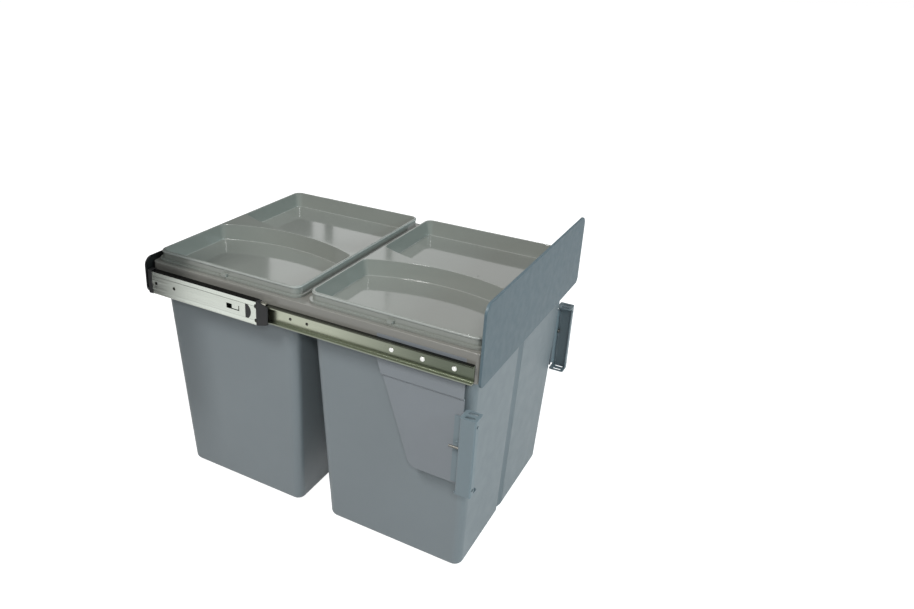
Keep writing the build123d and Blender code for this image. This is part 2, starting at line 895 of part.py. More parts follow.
with BuildPart() as frame_screws:
    for place in rear_screw_places:
        with Locations(Location((frame_side - sheet, front + place, runner_z), outwards)):
            add(pan_screw(screw_length, screw_radius, screw_head, screw_head_height))
    mirror(about=Plane.YZ)
save(frame_screws, "frame_screws")

with BuildPart() as adjusting_screws:
    with Locations(Location((adjuster_x, bracket_back - bracket_sheet, adjuster_z), forwards)):
        add(pan_screw(adjuster_length, adjuster_radius, adjuster_head, adjuster_head_height))
    mirror(about=Plane.YZ)
save(adjusting_screws, "adjusting_screws")

with BuildPart() as panel_screws:
    with Locations(Location((0, frame_front + frame_wall, boss_z), rearwards)):
        with GridLocations(boss_spacing, 0, boss_count, 1):
            add(
                pan_screw(panel_screw_length, screw_radius, panel_screw_head, panel_screw_head_height)
            )
save(panel_screws, "panel_screws")

with BuildPart() as rear_screws:
    with Locations(Location((0, rear_y, runner_z), rearwards)):
        with GridLocations(rear_screw_spacing, 0, rear_screw_count, 1):
            add(flat_screw(rear_screw_length))
save(rear_screws, "rear_screws")
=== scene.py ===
"""A pull out bin frame with its bins, lids and runners, dressed and lit in a plain studio."""

import json
import logging
import math
from dataclasses import dataclass
from enum import Enum
from functools import cache

import bmesh
import bpy
from mathutils import Euler, Matrix, Vector

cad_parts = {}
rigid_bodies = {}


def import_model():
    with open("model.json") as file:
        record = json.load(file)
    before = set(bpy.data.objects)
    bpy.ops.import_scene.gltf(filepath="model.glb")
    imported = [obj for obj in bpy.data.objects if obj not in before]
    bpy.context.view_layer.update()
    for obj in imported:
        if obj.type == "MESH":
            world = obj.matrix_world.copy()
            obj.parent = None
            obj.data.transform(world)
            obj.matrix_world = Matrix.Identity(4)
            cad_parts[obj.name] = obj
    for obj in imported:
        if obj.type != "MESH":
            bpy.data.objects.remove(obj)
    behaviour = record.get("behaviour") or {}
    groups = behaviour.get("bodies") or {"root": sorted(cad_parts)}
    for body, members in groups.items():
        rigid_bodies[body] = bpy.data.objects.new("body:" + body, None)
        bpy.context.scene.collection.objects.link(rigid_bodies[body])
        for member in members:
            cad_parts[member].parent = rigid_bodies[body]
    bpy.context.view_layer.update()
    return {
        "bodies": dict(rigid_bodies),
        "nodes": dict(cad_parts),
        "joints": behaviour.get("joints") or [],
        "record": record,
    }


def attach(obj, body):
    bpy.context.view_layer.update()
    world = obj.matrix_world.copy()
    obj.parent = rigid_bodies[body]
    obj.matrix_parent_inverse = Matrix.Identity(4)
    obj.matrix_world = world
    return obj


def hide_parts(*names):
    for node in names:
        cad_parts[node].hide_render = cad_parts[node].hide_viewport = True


logging.basicConfig(level=logging.INFO, format="%(name)s: %(message)s")
log = logging.getLogger("bin_frame")

Colour = tuple[float, float, float]
Point = tuple[float, float, float]
Span = tuple[float, float]
Stops = tuple[Span, ...]

WHITE: Colour = (1.0, 1.0, 1.0)
MOTTLE_SPAN: Span = (0.35, 0.65)
NOISE_SPAN: Span = (0.3, 0.7)


class Side(Enum):
    """The two hands of the unit, as the sign of X."""

    LEFT = -1
    RIGHT = 1

    @property
    def label(self) -> str:
        """Start of the names of this side's nodes."""
        return self.name.lower()


class Place(Enum):
    """The two bays of the frame, by the Y of their middle in metres."""

    FRONT = -0.12275
    REAR = 0.12325

    @property
    def label(self) -> str:
        """Start of the names of this bay's nodes."""
        return self.name.lower()


def linear(red: int, green: int, blue: int) -> Colour:
    """Turns a colour of 0 to 255 per channel into linear light.

    Args:
        red: Red as a screen shows it.
        green: Green as a screen shows it.
        blue: Blue as a screen shows it.

    Returns:
        The three channels as linear values from 0 to 1.
    """
    channels = [value / 255 for value in (red, green, blue)]
    return tuple(c / 12.92 if c <= 0.04045 else ((c + 0.055) / 1.055) ** 2.4 for c in channels)


def scaled(colour: Colour, share: float) -> Colour:
    """Makes a colour darker or lighter, and no lighter than white."""
    return tuple(min(share * channel, 1.0) for channel in colour)


class NodeBoard:
    """A material's node tree with short calls for the nodes that the finishes share."""

    def __init__(self, name: str) -> None:
        """Starts a material whose shader is a Principled BSDF.

        Args:
            name: Name of the material.
        """
        self.material = bpy.data.materials.new(name)
        self.material.use_nodes = True
        self.tree = self.material.node_tree
        self.shader = self.tree.nodes["Principled BSDF"]
        self.place = self.tree.nodes.new("ShaderNodeTexCoord").outputs["Object"]

    def add(self, kind: str, **values: object) -> bpy.types.Node:
        """Adds a node and sets its properties.

        Args:
            kind: Blender's name for the node type.
            **values: Properties of the node.

        Returns:
            The new node.
        """
        node = self.tree.nodes.new(kind)
        for key, value in values.items():
            setattr(node, key, value)
        return node

    def link(self, start: bpy.types.NodeSocket, end: bpy.types.NodeSocket) -> None:
        """Joins two sockets."""
        self.tree.links.new(start, end)

    def feed(self, name: str, source: bpy.types.NodeSocket) -> None:
        """Joins an output to one of the shader's inputs."""
        self.link(source, self.shader.inputs[name])

    def fix(self, name: str, value: float | tuple[float, ...]) -> None:
        """Sets one of the shader's inputs to a value."""
        self.shader.inputs[name].default_value = value

    def noise(self, scale: float, detail: float = 3.0, stretch: Point = (1, 1, 1)) -> bpy.types.NodeSocket:
        """Adds a noise over the object's own coordinates.

        Args:
            scale: Size of the noise in cycles per metre.
            detail: Number of finer layers.
            stretch: Factors on the three coordinates.

        Returns:
            The noise's factor output.
        """
        mapping = self.add("ShaderNodeMapping")
        mapping.inputs["Scale"].default_value = stretch
        self.link(self.place, mapping.inputs["Vector"])
        node = self.add("ShaderNodeTexNoise")
        node.inputs["Scale"].default_value = scale
        node.inputs["Detail"].default_value = detail
        self.link(mapping.outputs["Vector"], node.inputs["Vector"])
        return node.outputs["Fac"]

    def ramp(
        self, source: bpy.types.NodeSocket, low: Colour, high: Colour, span: Span = MOTTLE_SPAN
    ) -> bpy.types.NodeSocket:
        """Turns a factor into a colour between two ends.

        Args:
            source: Factor to read.
            low: Colour at the low end of the span.
            high: Colour at the high end of the span.
            span: Factors where the colour starts and stops changing.

        Returns:
            The colour output.
        """
        node = self.add("ShaderNodeValToRGB")
        for element, position, colour in zip(node.color_ramp.elements, span, (low, high)):
            element.position = position
            element.color = (*colour, 1)
        self.link(source, node.inputs["Fac"])
        return node.outputs["Color"]

    def mottle(
        self, source: bpy.types.NodeSocket, shade: Colour, contrast: float = 0.02
    ) -> bpy.types.NodeSocket:
        """Turns a factor into a slightly uneven shade.

        Args:
            source: Factor to read.
            shade: Middle colour.
            contrast: Share by which the colour goes down and up.

        Returns:
            The colour output.
        """
        return self.ramp(source, scaled(shade, 1 - contrast), scaled(shade, 1 + contrast))

    def spread(self, source: bpy.types.NodeSocket, low: float, high: float) -> bpy.types.NodeSocket:
        """Maps the usual span of a noise onto a range.

        Args:
            source: Factor to read.
            low: Value at the low end.
            high: Value at the high end.

        Returns:
            The mapped value.
        """
        return self.map_range(source, NOISE_SPAN, (low, high))

    def map_range(
        self, source: bpy.types.NodeSocket, span: Span, ends: Span, kind: str = "LINEAR"
    ) -> bpy.types.NodeSocket:
        """Maps a span of values onto a range.

        Args:
            source: Value to read.
            span: Values where the result starts and stops changing.
            ends: Results at both ends.
            kind: Blender's name for the curve between them.

        Returns:
            The mapped value.
        """
        node = self.add("ShaderNodeMapRange", interpolation_type=kind)
        node.inputs["From Min"].default_value, node.inputs["From Max"].default_value = span
        node.inputs["To Min"].default_value, node.inputs["To Max"].default_value = ends
        self.link(source, node.inputs["Value"])
        return node.outputs["Result"]

    def coordinate(self, axis: str) -> bpy.types.NodeSocket:
        """Gives the X, Y or Z of a point of the object in metres."""
        parts = self.add("ShaderNodeSeparateXYZ")
        self.link(self.place, parts.inputs["Vector"])
        return parts.outputs[axis]

    def along(self, axis: str, span: Span) -> bpy.types.NodeSocket:
        """Gives a factor that goes smoothly from 0 to 1 along an axis of the object.

        Args:
            axis: X, Y or Z.
            span: Places in metres where the factor is 0 and 1.

        Returns:
            The factor.
        """
        ends = (0.0, 1.0) if span[0] < span[1] else (1.0, 0.0)
        return self.map_range(self.coordinate(axis), tuple(sorted(span)), ends, "SMOOTHSTEP")

    def bands(self, axis: str, span: Span, stops: Stops) -> bpy.types.NodeSocket:
        """Gives a grey that changes in bands along an axis of the object.

        Args:
            axis: X, Y or Z.
            span: Places in metres of the first and the last band.
            stops: Share of the span and brightness, in rising order.

        Returns:
            The grey as a colour output.
        """
        share_along = self.map_range(self.coordinate(axis), span, (0.0, 1.0))
        node = self.add("ShaderNodeValToRGB")
        elements = node.color_ramp.elements
        elements[0].position, elements[1].position = stops[0][0], stops[-1][0]
        for share, _ in stops[1:-1]:
            elements.new(share)
        for element, (_, grey) in zip(elements, stops):
            element.color = (grey, grey, grey, 1)
        self.link(share_along, node.inputs["Fac"])
        return node.outputs["Color"]

    def times(self, first: bpy.types.NodeSocket, second: bpy.types.NodeSocket) -> bpy.types.NodeSocket:
        """Multiplies two colours."""
        node = self.add("ShaderNodeMix", data_type="RGBA", blend_type="MULTIPLY")
        node.inputs[0].default_value = 1.0
        self.link(first, node.inputs[6])
        self.link(second, node.inputs[7])
        return node.outputs[2]

    def blend(
        self, factor: bpy.types.NodeSocket, first: bpy.types.NodeSocket, second: Colour
    ) -> bpy.types.NodeSocket:
        """Blends a colour into another one.

        Args:
            factor: Share of the second colour.
            first: Output with the first colour.
            second: The second colour.

        Returns:
            The blended colour.
        """
        node = self.add("ShaderNodeMix", data_type="RGBA")
        node.inputs[7].default_value = (*second, 1)
        self.link(factor, node.inputs[0])
        self.link(first, node.inputs[6])
        return node.outputs[2]

    def bump(self, source: bpy.types.NodeSocket, distance: float, strength: float) -> None:
        """Raises the surface by a height field.

        Args:
            source: Height from 0 to 1.
            distance: Height in metres that 1 stands for.
            strength: Share of the effect that is kept.
        """
        node = self.add("ShaderNodeBump")
        node.inputs["Distance"].default_value = distance
        node.inputs["Strength"].default_value = strength
        self.link(source, node.inputs["Height"])
        self.feed("Normal", node.outputs["Normal"])


@dataclass(frozen=True)
class Finish:
    """A surface finish that makes its own material."""

    name: str
    shade: Colour

    def make(self) -> bpy.types.Material:
        """Builds the material.

        Returns:
            The finished material.
        """
        board = NodeBoard(self.name)
        self.cover(board)
        return board.material

    def cover(self, board: NodeBoard) -> None:
        """Adds the finish's nodes to its board."""
        raise NotImplementedError


@dataclass(frozen=True)
class MouldedPlastic(Finish):
    """Injection-moulded plastic with a fine spark-eroded grain and faint flow marks."""

    roughness: float
    grain: float = 2600.0
    grain_height: float = 0.00003
    flow: float = 9.0
    wear: float = 60.0

    def cover(self, board: NodeBoard) -> None:
        """Adds flow marks to the colour, wear to the roughness and grain to the surface.

        Args:
            board: Board of the material.
        """
        board.feed("Base Color", board.mottle(board.noise(self.flow, 4.0), self.shade))
        worn = board.spread(board.noise(self.wear), 0.9 * self.roughness, 1.12 * self.roughness)
        board.feed("Roughness", worn)
        board.bump(board.noise(self.grain, 2.0), self.grain_height, 0.35)


@dataclass(frozen=True)
class PaintedSheet(Finish):
    """Sheet steel under a smooth powder coat with a slight orange-peel texture."""

    roughness: float = 0.42
    clouds: float = 14.0
    wear: float = 90.0
    peel: float = 900.0
    peel_height: float = 0.00002

    def cover(self, board: NodeBoard) -> None:
        """Adds clouds to the colour, wear to the roughness and the peel to the surface.

        Args:
            board: Board of the material.
        """
        board.feed("Base Color", board.mottle(board.noise(self.clouds), self.shade))
        worn = board.spread(board.noise(self.wear, 2.0), self.roughness - 0.04, self.roughness + 0.04)
        board.feed("Roughness", worn)
        board.bump(board.noise(self.peel, 2.0), self.peel_height, 0.3)


@dataclass(frozen=True)
class RolledSteel(Finish):
    """Zinc-plated strip steel with fine rolling lines along Y and a cloudy passivation tint, which can also
    carry painted shade towards the front, painted light and shade bands across its section and a painted
    highlight on its lower lip.
    """

    tint: Colour
    roughness: float = 0.28
    lines: float = 0.00002
    # Painted shade: the colour the steel darkens to towards the front, between the Y places of fade.
    front_shade: Colour | None = None
    fade: Span = (0.03, -0.22)
    height: Span = (0.2867, 0.3207)
    # Painted light and shade: brightness bands across the height span of the section.
    profile: Stops = ()
    # Painted highlight: below the Z places of lip the lower lip takes this lighter colour, the same along its
    # length.
    lip: Span = (0.0, 0.0)
    lip_shade: Colour | None = None
    cloud_stretch: Point = (1, 0.4, 1)
    line_stretch: Point = (1, 0.012, 1)

    def cover(self, board: NodeBoard) -> None:
        """Adds the passivation, the painted shade towards the front, the painted light and shade bands across
        the section, the painted lip highlight and the rolling lines.

        Args:
            board: Board of the material.
        """
        board.fix("Metallic", 1.0)
        clouds_and_painted_light = board.ramp(board.noise(35.0, 4.0, self.cloud_stretch), self.tint, self.shade)
        # Painted shade: the web darkens towards the front.
        if self.front_shade is not None:
            clouds_and_painted_light = board.blend(board.along("Y", self.fade), clouds_and_painted_light, self.front_shade)
        # Painted light and shade in bands across the section.
        if self.profile:
            clouds_and_painted_light = board.times(clouds_and_painted_light, board.bands("Z", self.height, self.profile))
        # Painted highlight along the lower lip.
        if self.lip_shade is not None:
            clouds_and_painted_light = board.blend(board.along("Z", self.lip), clouds_and_painted_light, self.lip_shade)
        board.feed("Base Color", clouds_and_painted_light)
        drawn = board.noise(900.0, 3.0, self.line_stretch)
        board.feed("Roughness", board.spread(drawn, self.roughness - 0.04, self.roughness + 0.06))
        board.bump(drawn, self.lines, 0.4)


@dataclass(frozen=True)
class PolishedSteel(Finish):
    """Bright turned or ground steel for rivets, screws and balls."""

    roughness: float
    marks: float = 400.0
    wear: float = 700.0

    def cover(self, board: NodeBoard) -> None:
        """Adds turning marks to the colour and wear to the roughness.

        Args:
            board: Board of the material.
        """
        board.fix("Metallic", 1.0)
        turned = board.ramp(board.noise(self.marks), scaled(self.shade, 0.88), self.shade, (0.35, 0.6))
        board.feed("Base Color", turned)
        worn = board.spread(board.noise(self.wear, 2.0), self.roughness - 0.05, self.roughness + 0.08)
        board.feed("Roughness", worn)


# Painted light and shade across the outer member: a darker bottom edge, darker lines at the creases and a
# near-black top flange for shade and a dark reflection.
OUTER_PAINTED_LIGHT_BANDS: Stops = (
    (0.0, 0.55),
    (0.05, 0.9),
    (0.08, 1.0),
    (0.19, 1.0),
    (0.215, 0.72),
    (0.24, 0.94),
    (0.77, 0.94),
    (0.785, 0.86),
    (0.8, 1.0),
    (0.955, 1.0),
    (0.966, 0.01),
)
# Painted light and shade across the inner member: a light lower lip, a darker line above it and a dark top
# flange for shade.
INNER_PAINTED_LIGHT_BANDS: Stops = (
    (0.0, 1.0),
    (0.14, 0.9),
    (0.2, 0.85),
    (0.32, 1.0),
    (0.93, 1.0),
    (0.96, 0.2),
    (1.0, 0.12),
)


class Palette(Enum):
    """Every finish of the unit."""

    BIN_PLASTIC = MouldedPlastic("bin_plastic", linear(127, 136, 140), 0.38)
    LID_PLASTIC = MouldedPlastic("lid_plastic", linear(141, 145, 139), 0.07, 60.0, 0.000004)
    # The bead is the lid's plastic coloured lighter, a painted highlight along the rim.
    BEAD_PLASTIC = MouldedPlastic("bead_plastic", linear(164, 169, 164), 0.16, 60.0, 0.000004)
    FRAME_PLASTIC = MouldedPlastic("frame_plastic", linear(134, 133, 127), 0.2, 600.0, 0.000006)
    BLACK_PLASTIC = MouldedPlastic("black_plastic", linear(12, 13, 14), 0.5, 2600.0, 0.00002)
    PANEL_PAINT = PaintedSheet("panel_paint", linear(80, 99, 107))
    PLATE_PAINT = PaintedSheet("plate_paint", linear(131, 137, 142))
    BLACK_PAINT = PaintedSheet("black_paint", linear(24, 27, 27), 0.3)
    BRACKET_PAINT = PaintedSheet("bracket_paint", linear(120, 134, 140), 0.36)
    OUTER_STEEL = RolledSteel(
        "outer_steel",
        linear(216, 221, 213),
        linear(212, 217, 208),
        0.22,
        lines=0.000008,
        # painted light and shade bands across the section
        profile=OUTER_PAINTED_LIGHT_BANDS,
    )
    INNER_STEEL = RolledSteel(
        "inner_steel",
        linear(186, 190, 172),
        linear(178, 182, 164),
        0.3,
        # painted shade towards the front
        front_shade=linear(97, 103, 90),
        height=(0.2917, 0.3157),
        # painted light and shade bands across the section
        profile=INNER_PAINTED_LIGHT_BANDS,
        # painted highlight along the lower lip
        lip=(0.2949, 0.2936),
        lip_shade=linear(140, 145, 131),
    )
    CAGE_STEEL = RolledSteel("cage_steel", linear(200, 200, 190), linear(170, 170, 158), 0.3)
    RIVET_STEEL = PolishedSteel("rivet_steel", linear(240, 240, 236), 0.3)
    SCREW_STEEL = PolishedSteel("screw_steel", linear(120, 119, 114), 0.5)
    BALL_STEEL = PolishedSteel("ball_steel", linear(230, 230, 230), 0.08)

    @cache
    def material(self) -> bpy.types.Material:
        """Makes the finish's material the first time it is asked for."""
        return self.value.make()


def dress(frame: dict, node: str, finish: Palette) -> None:
    """Gives a node of the frame its material and reports it.

    Args:
        node: Name of the node.
        finish: Finish for all of it.
    """
    mesh = frame["nodes"][node].data
    mesh.materials.clear()
    mesh.materials.append(finish.material())
    log.info("%s dressed in %s", node, finish.value.name)


def stand(name: str, shape: bmesh.types.BMesh) -> bpy.types.Object:
    """Turns a shape into an object of the scene.

    Args:
        name: Name of the object and its mesh.
        shape: Shape, which is used up.

    Returns:
        The new object.
    """
    mesh = bpy.data.meshes.new(name)
    shape.to_mesh(mesh)
    shape.free()
    made = bpy.data.objects.new(name, mesh)
    bpy.context.scene.collection.objects.link(made)
    return made


class Piece:
    """A new piece in mesh form, which is shaped and then put on a body of the frame."""

    def __init__(self, name: str, start: bpy.types.Mesh | None = None) -> None:
        """Starts an empty piece, or one from a mesh with its flat faces made whole.

        Args:
            name: Name of the piece.
            start: Mesh to start from.
        """
        self.name = name
        self.shape = bmesh.new()
        if start is not None:
            self.shape.from_mesh(start)
            bmesh.ops.remove_doubles(self.shape, verts=self.shape.verts, dist=0.00001)
            bmesh.ops.dissolve_limit(
                self.shape,
                angle_limit=math.radians(0.4),
                verts=self.shape.verts,
                edges=self.shape.edges,
            )

    def round_edges(self, edges: list[bmesh.types.BMEdge], reach: float, segments: int) -> None:
        """Rounds edges.

        Args:
            edges: Edges to round.
            reach: Size of the rounding in metres.
            segments: Faces across the rounding.
        """
        bmesh.ops.bevel(
            self.shape,
            geom=edges,
            offset=reach,
            offset_type="OFFSET",
            segments=segments,
            profile=0.5,
            affect="EDGES",
            clamp_overlap=True,
            material=-1,
        )

    def sweep(self, path: list[Vector], outwards: list[Vector], section: list[Span]) -> None:
        """Sweeps a closed section along a closed level path.

        Args:
            path: Points of the path.
            outwards: Level direction away from the path's inside, at each point.
            section: Points of the section, as a reach outwards and a rise.
        """
        rings = [
            [self.shape.verts.new(point + reach * out + Vector((0, 0, rise))) for reach, rise in section]
            for point, out in zip(path, outwards)
        ]
        for ring, after in zip(rings, rings[1:] + rings[:1]):
            for i, vert in enumerate(ring):
                following = (i + 1) % len(ring)
                self.shape.faces.new((vert, after[i], after[following], ring[following]))
        bmesh.ops.recalc_face_normals(self.shape, faces=self.shape.faces)

    def dome(self, centre: Point, radius: float, height: float) -> None:
        """Adds a flattened ball whose upper half stands up as a dome.

        Args:
            centre: Middle of its foot.
            radius: Radius of its foot.
            height: How far it stands up.
        """
        made = bmesh.ops.create_uvsphere(self.shape, u_segments=32, v_segments=16, radius=radius)
        bmesh.ops.scale(self.shape, verts=made["verts"], vec=(1, 1, height / radius))
        bmesh.ops.translate(self.shape, verts=made["verts"], vec=centre)

    def place(
        self, body: str, slot: str, finish: Palette, replaced: str | None = None, sharp: float = 32.0
    ) -> None:
        """Turns the shape into an object that rides on a body.

        Args:
            body: Body that carries the piece.
            slot: Material slot of the record; not used.
            finish: Finish of the piece.
            replaced: Node that the piece stands for.
            sharp: Angle in degrees above which an edge stays sharp.
        """
        piece = stand(self.name, self.shape)
        piece.data.shade_smooth()
        piece.data.set_sharp_from_angle(angle=math.radians(sharp))
        piece.data.materials.clear()
        piece.data.materials.append(finish.material())
        piece.modifiers.new("weighted_normals", "WEIGHTED_NORMAL").keep_sharp = True
        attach(piece, body)
        if replaced is not None:
            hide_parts(replaced)
        log.info("%s built on %s in %s", self.name, body, finish.value.name)


def rounded_rectangle(
    centre: Point, width: float, depth: float, corner: float, steps: int = 8
) -> tuple[list[Vector], list[Vector]]:
    """Walks round a level rectangle with round corners.

    Args:
        centre: Middle of the rectangle.
        width: Size along X.
        depth: Size along Y.
        corner: Radius of the corners.
        steps: Number of steps round each corner.

    Returns:
        The points, and the outward direction at each.
    """
    path, outwards = [], []
    for turn, (x, y) in enumerate(((1, 1), (-1, 1), (-1, -1), (1, -1))):
        middle = Vector(centre) + Vector((x * (width / 2 - corner), y * (depth / 2 - corner), 0))
        for step in range(steps + 1):
            angle = math.radians(90 * (turn + step / steps))
            out = Vector((math.cos(angle), math.sin(angle), 0))
            path.append(middle + corner * out)
            outwards.append(out)
    return path, outwards


@dataclass
class TrayLid:
    """A lid whose trays have rounded feet and whose rim has a bead, coloured lighter as a painted highlight,
    with the mark of its gate.
    """

    place: Place
    width: float = 0.320
    depth: float = 0.229
    corner: float = 0.011
    rim_z: float = 0.3433
    floor_z: float = 0.3203
    foot_round: float = 0.0024
    foot_segments: int = 5
    bead_reach: float = 0.0009
    bead_height: float = 0.0028
    bead_root: float = 0.0003
    bead_drop: float = 0.0007
    gate: Span = (0.046, -0.021)
    gate_radius: float = 0.0014
    gate_height: float = 0.0006

    def build(self, frame: dict) -> None:
        """Builds the lid in place of its node.
        """
        side = self.place.label
        body = f"{side}_lid_body"
        shell = Piece(f"{side}_lid_shell", frame["nodes"][f"{side}_lid"].data)
        feet = [edge for edge in shell.shape.edges if self.at_floor(edge)]
        shell.round_edges(feet, self.foot_round, self.foot_segments)
        shell.place(body, "lid_plastic", Palette.LID_PLASTIC, f"{side}_lid")
        bead = Piece(f"{side}_lid_bead")
        middle = (0, self.place.value, self.rim_z)
        path, outwards = rounded_rectangle(middle, self.width, self.depth, self.corner)
        bead.sweep(path, outwards, self.bead_section())
        # The bead's lighter colour is a painted highlight along the rim.
        bead.place(body, "lid_plastic", Palette.BEAD_PLASTIC, sharp=60.0)
        mark = Piece(f"{side}_lid_gate_mark")
        centre = (self.gate[0], self.place.value + self.gate[1], self.floor_z)
        mark.dome(centre, self.gate_radius, self.gate_height)
        mark.place(body, "lid_plastic", Palette.LID_PLASTIC, sharp=60.0)

    def at_floor(self, edge: bmesh.types.BMEdge) -> bool:
        """Says whether an edge lies in the floor of a tray."""
        return all(abs(vert.co.z - self.floor_z) < 0.00002 for vert in edge.verts)

    def bead_section(self) -> list[Span]:
        """Section of the bead, a band with a round outer face, set a little into the rim.

        Returns:
            The points as reach and rise.
        """
        half = self.bead_height / 2
        middle = -self.bead_drop - half
        angles = [math.radians(90 - 30 * step) for step in range(7)]
        face = [(self.bead_reach * max(math.cos(a), 0.0) ** 0.5, middle + half * math.sin(a)) for a in angles]
        return [(-self.bead_root, middle + half), *face, (-self.bead_root, middle - half)]


@dataclass
class Containers:
    """The bins and their tray lids."""

    groove: Span = (-0.0184, 0.0024)
    groove_skew: float = 1.7
    front_wall: float = 0.045

    def build(self, frame: dict) -> None:
        """Builds both bins and both lids.
        """
        for place in Place:
            self.mould_bin(frame, place.label)
            TrayLid(place).build(frame)

    def mould_bin(self, frame: dict, name: str) -> None:
        """Builds a bin whose front groove is steep on its left and runs out gently to the right.

        Args:
            name: Place of the bin.
        """
        body = Piece(f"{name}_bin_shell", frame["nodes"][f"{name}_bin"].data)
        front = min(vert.co.y for vert in body.shape.verts)
        start, end = self.groove
        for vert in body.shape.verts:
            if vert.co.y < front + self.front_wall and start < vert.co.x < end:
                share = (vert.co.x - start) / (end - start)
                vert.co.x = start + (end - start) * share**self.groove_skew
        body.place(f"{name}_bin_body", "bin_plastic", Palette.BIN_PLASTIC, f"{name}_bin")


class Carriage:
    """The moulded frame with its front panel, rear plate and screws."""

    FINISHES: dict[str, Palette] = {
        "bin_frame": Palette.FRAME_PLASTIC,
        "front_panel": Palette.PANEL_PAINT,
        "rear_plate": Palette.BLACK_PAINT,
        "panel_screws": Palette.RIVET_STEEL,
        "rear_screws": Palette.RIVET_STEEL,
        "frame_screws": Palette.RIVET_STEEL,
    }

    def build(self, frame: dict) -> None:
        """Dresses the frame and what is fixed to its ends.
        """
        for node, finish in self.FINISHES.items():
            dress(frame, node, finish)


class Runners:
    """The ball-bearing runners on both sides."""

    FINISHES: dict[str, Palette] = {
        "cabinet_member": Palette.OUTER_STEEL,
        "drawer_member": Palette.INNER_STEEL,
        "ball_retainer": Palette.CAGE_STEEL,
        "slide_balls": Palette.BALL_STEEL,
        "front_bumper": Palette.BLACK_PLASTIC,
        "rear_stop": Palette.BLACK_PLASTIC,
    }

    def build(self, frame: dict) -> None:
        """Dresses both runners.
        """
        for side in Side:
            for node, finish in self.FINISHES.items():
                dress(frame, f"{side.label}_{node}", finish)
        dress(frame, "side_rivets", Palette.RIVET_STEEL)


@dataclass
class DoorFittings:
    """The side plates and door brackets with their rivets and adjusting screws."""

    tab_levels: Span = (0.1477, 0.2485)
    tab_edge_x: float = 0.166
    tab_inset: float = 0.0025
    foot_tab_y: float = -0.2245
    foot_tab_cut: float = 0.0085
    screw_axis: Span = (0.175, 0.2011)
    screw_rise: float = 0.004
    screw_share: float = 0.75

    def build(self, frame: dict) -> None:
        """Dresses the plates and rivets, and builds the brackets and their screws.
        """
        for side in Side:
            dress(frame, f"{side.label}_side_plate", Palette.PLATE_PAINT)
            self.fold_bracket(frame, side)
        dress(frame, "bracket_rivets", Palette.BRACKET_PAINT)
        self.turn_screws(frame)

    def fold_bracket(self, frame: dict, side: Side) -> None:
        """Builds a door bracket with its end tabs trimmed.

        Args:
            side: Hand of the bracket.
        """
        node = f"{side.label}_door_bracket"
        bracket = Piece(f"{node}_sheet", frame["nodes"][node].data)
        for vert in bracket.shape.verts:
            if self.tab_levels[0] < vert.co.z < self.tab_levels[1]:
                continue
            if abs(vert.co.x) < self.tab_edge_x:
                vert.co.x += side.value * self.tab_inset
            if vert.co.z < self.tab_levels[0] and vert.co.y > self.foot_tab_y:
                vert.co.y -= self.foot_tab_cut
        bracket.place("carriage", "grey_paint", Palette.BRACKET_PAINT, node)

    def turn_screws(self, frame: dict) -> None:
        """Builds the two slender adjusting screws.
        """
        screws = Piece("adjusting_screw_pair", frame["nodes"]["adjusting_screws"].data)
        for vert in screws.shape.verts:
            axis_x = math.copysign(self.screw_axis[0], vert.co.x)
            vert.co.x = axis_x + self.screw_share * (vert.co.x - axis_x)
            rise = self.screw_share * (vert.co.z - self.screw_axis[1])
            vert.co.z = self.screw_axis[1] + self.screw_rise + rise
        screws.place("carriage", "bright_steel", Palette.SCREW_STEEL, "adjusting_screws")


def hang_lamp(
    name: str, size: Span, power: float, place: Vector, facing: Vector, tint: Colour = WHITE
) -> None:
    """Hangs a rectangular area lamp.

    Args:
        name: Name of the lamp.
        size: Its width and height.
        power: Its power in watts.
        place: Where it hangs.
        facing: Direction it shines in.
        tint: Colour of its light.
    """
    data = bpy.data.lights.new(name, "AREA")
    data.shape = "RECTANGLE"
    data.size, data.size_y = size
    data.energy = power
    data.color = tint
    lamp = bpy.data.objects.new(name, data)
    bpy.context.scene.collection.objects.link(lamp)
    lamp.location = place
    lamp.rotation_euler = facing.to_track_quat("-Z", "Y").to_euler()


def toward(turn: float, rise: float) -> Vector:
    """Gives the direction of a compass turn and a rise.

    Args:
        turn: Degrees from +Y towards +X.
        rise: Degrees above the level.

    Returns:
        The direction as a unit vector.
    """
    turn, rise = math.radians(turn), math.radians(rise)
    return Vector((math.cos(rise) * math.sin(turn), math.cos(rise) * math.cos(turn), math.sin(rise)))


def ray_share(tree: bpy.types.NodeTree, *kinds: str) -> bpy.types.NodeSocket:
    """Adds a factor that is 1 for rays of some kinds and 0 for all others.

    Args:
        tree: Node tree to add it to.
        *kinds: Outputs of the light path node.

    Returns:
        The factor.
    """
    path = tree.nodes.new("ShaderNodeLightPath")
    share = path.outputs[kinds[0]]
    for kind in kinds[1:]:
        either = tree.nodes.new("ShaderNodeMath")
        either.operation = "MAXIMUM"
        tree.links.new(share, either.inputs[0])
        tree.links.new(path.outputs[kind], either.inputs[1])
        share = either.outputs["Value"]
    return share


def matt_board(name: str, scale: float, dark: float, light: float) -> NodeBoard:
    """Starts a matt, faintly mottled grey for a thing of the studio.

    Args:
        name: Name of the material.
        scale: Size of the mottling in cycles per metre.
        dark: Darkest grey.
        light: Lightest grey.

    Returns:
        The board of the material.
    """
    board = NodeBoard(name)
    board.feed("Base Color", board.ramp(board.noise(scale), (dark,) * 3, (light,) * 3, NOISE_SPAN))
    board.fix("Roughness", 0.9)
    return board


@dataclass(frozen=True)
class Lamp:
    """A softbox that faces the unit."""

    name: str
    place: Point
    size: Span
    power: float
    target: Point = (0.0, 0.0, 0.25)
    tint: Colour = WHITE

    def build(self) -> None:
        """Hangs the lamp and turns it to its target."""
        place = Vector(self.place)
        hang_lamp(self.name, self.size, self.power, place, Vector(self.target) - place, self.tint)


